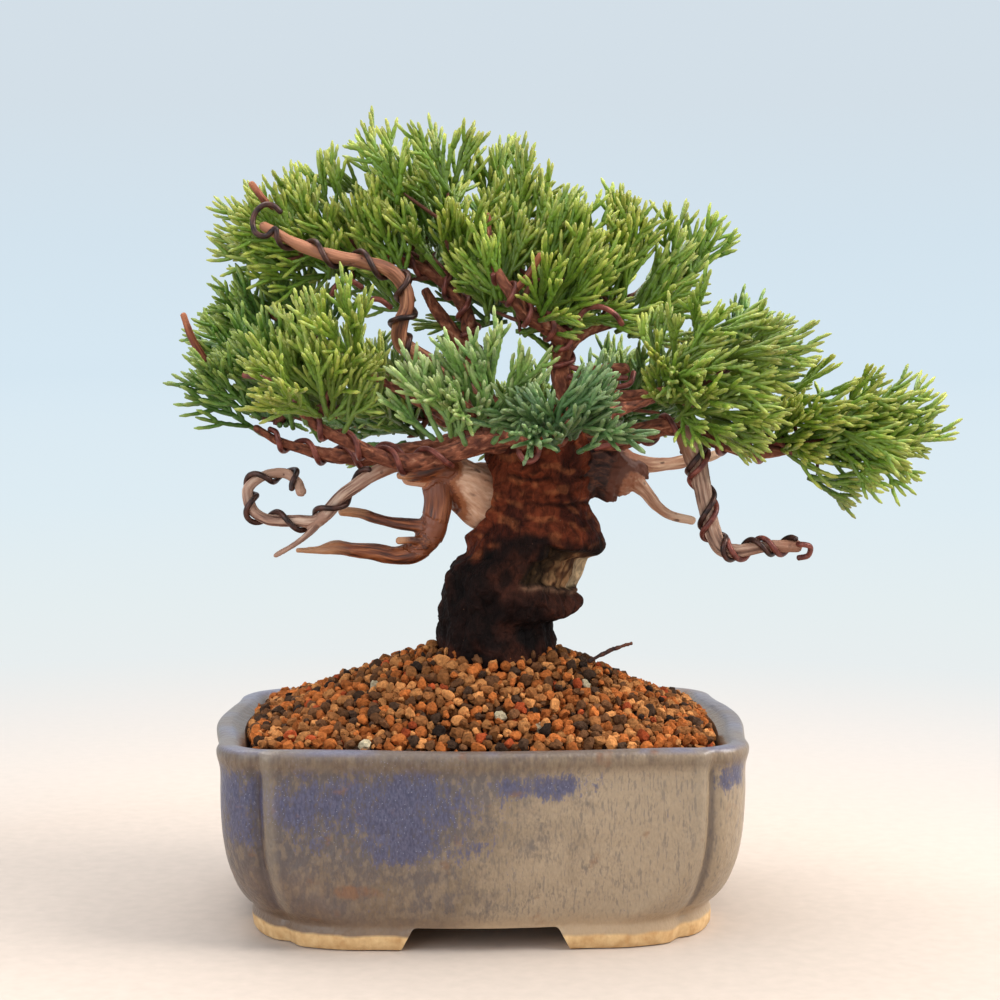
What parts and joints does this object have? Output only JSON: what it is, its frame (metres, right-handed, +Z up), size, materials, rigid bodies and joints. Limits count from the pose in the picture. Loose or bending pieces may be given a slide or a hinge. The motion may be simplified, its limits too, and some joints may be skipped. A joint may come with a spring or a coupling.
{
  "type": "bonsai tree in a pot",
  "caption": "Small trained juniper bonsai with scale foliage pads, wired branches and stripped dead wood, in a lobed glazed pot with mounded grain soil.",
  "frame": {"origin": "bottom centre of the whole object's bounding box, on the surface it stands on", "axes": "+Z up; +X to the right of the front view, along the pot's long side; +Y from the front to the back"},
  "size_m": [0.1652, 0.1058, 0.166],
  "materials": {
    "glaze": "satin",
    "soil": "matte",
    "mesh_plastic": "matte",
    "soft_wire": "satin",
    "bark": "matte",
    "deadwood": "matte",
    "training_wire": "satin",
    "foliage": "satin"
  },
  "bodies": {
    "root": {"pot": "glaze", "soil": "soil", "drain_mesh_left": "mesh_plastic", "drain_mesh_right": "mesh_plastic", "mesh_clip_left": "soft_wire", "mesh_clip_right": "soft_wire", "anchor_wire": "soft_wire", "trunk": "bark", "branch_left": "bark", "branch_left_front": "bark", "branch_left_back": "bark", "stem_left": "bark", "stem_left_fork": "bark", "stem_right": "bark", "stem_right_fork": "bark", "stem_right_back": "bark", "branch_right_middle": "bark", "branch_right": "bark", "branch_right_back": "bark", "branch_front_left": "bark", "branch_front_right": "bark", "branch_back_left": "bark", "branch_back": "bark", "branch_back_right": "bark", "deadwood_left": "deadwood", "deadwood_coiled": "deadwood", "deadwood_upper_left": "deadwood", "deadwood_right": "deadwood", "deadwood_drooping": "deadwood", "bark_stub": "bark", "wire_branch_left": "training_wire", "wire_branch_left_front": "training_wire", "wire_stem_left": "training_wire", "wire_stem_right": "training_wire", "wire_branch_right": "training_wire", "wire_coiled": "training_wire", "wire_upper_left": "training_wire", "wire_drooping": "training_wire", "foliage_upper_left": "foliage", "foliage_top": "foliage", "foliage_crown": "foliage", "foliage_crown_back": "foliage", "foliage_upper_right": "foliage", "foliage_right_front": "foliage", "foliage_right_back": "foliage", "foliage_right": "foliage", "foliage_right_end": "foliage", "foliage_left_back": "foliage", "foliage_left": "foliage", "foliage_left_front": "foliage", "foliage_front_left": "foliage", "foliage_front_right": "foliage", "foliage_back_left": "foliage", "foliage_back": "foliage", "foliage_back_right": "foliage"}
  },
  "joints": []
}
